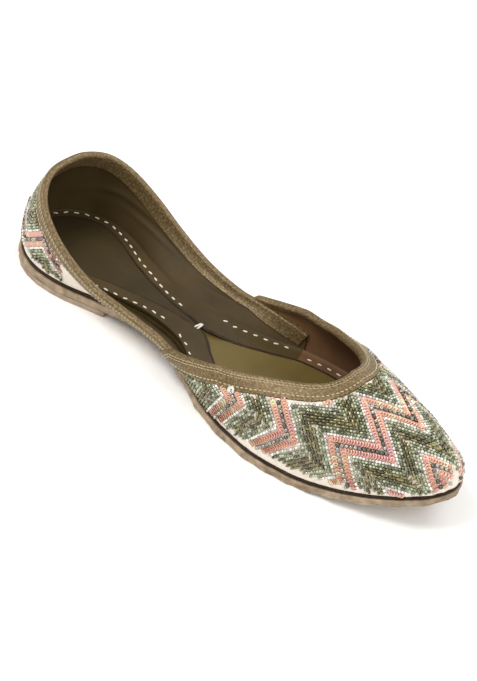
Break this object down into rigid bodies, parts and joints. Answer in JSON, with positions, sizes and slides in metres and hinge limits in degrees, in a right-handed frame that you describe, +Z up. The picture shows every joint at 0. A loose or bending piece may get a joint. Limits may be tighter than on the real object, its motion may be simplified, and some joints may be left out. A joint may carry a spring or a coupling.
{
  "type": "mojari shoe",
  "caption": "Flat leather slip-on shoe with a low collar, open throat, narrow round toe, bound edges and beaded chevron bands over satin.",
  "frame": {"origin": "on the floor, under the middle of the shoe", "axes": "+X from heel to toe, +Y to the wearer's left, +Z up"},
  "size_m": [0.2498, 0.0792, 0.0518],
  "materials": {
    "satin": "satin weave, soft sheen",
    "binding": "bronze leather, fine metallic grain",
    "lining": "smooth lining leather, satin",
    "insole": "smooth leather, satin",
    "sock": "smooth dark leather, satin",
    "midsole": "dark leather edge, matt",
    "sole": "raw layered leather edge, matt",
    "lift": "raw leather, matt",
    "bead": "silver-lined glass, glossy",
    "sequin": "pearly, glossy",
    "thread": "waxed cotton thread, matt"
  },
  "bodies": {
    "root": {"upper": "satin", "quarter_binding": "binding", "vamp_binding": "binding", "insole": "insole", "heel_sock": "sock", "midsole": "midsole", "outsole": "sole", "heel_lift": "lift"}
  },
  "joints": []
}
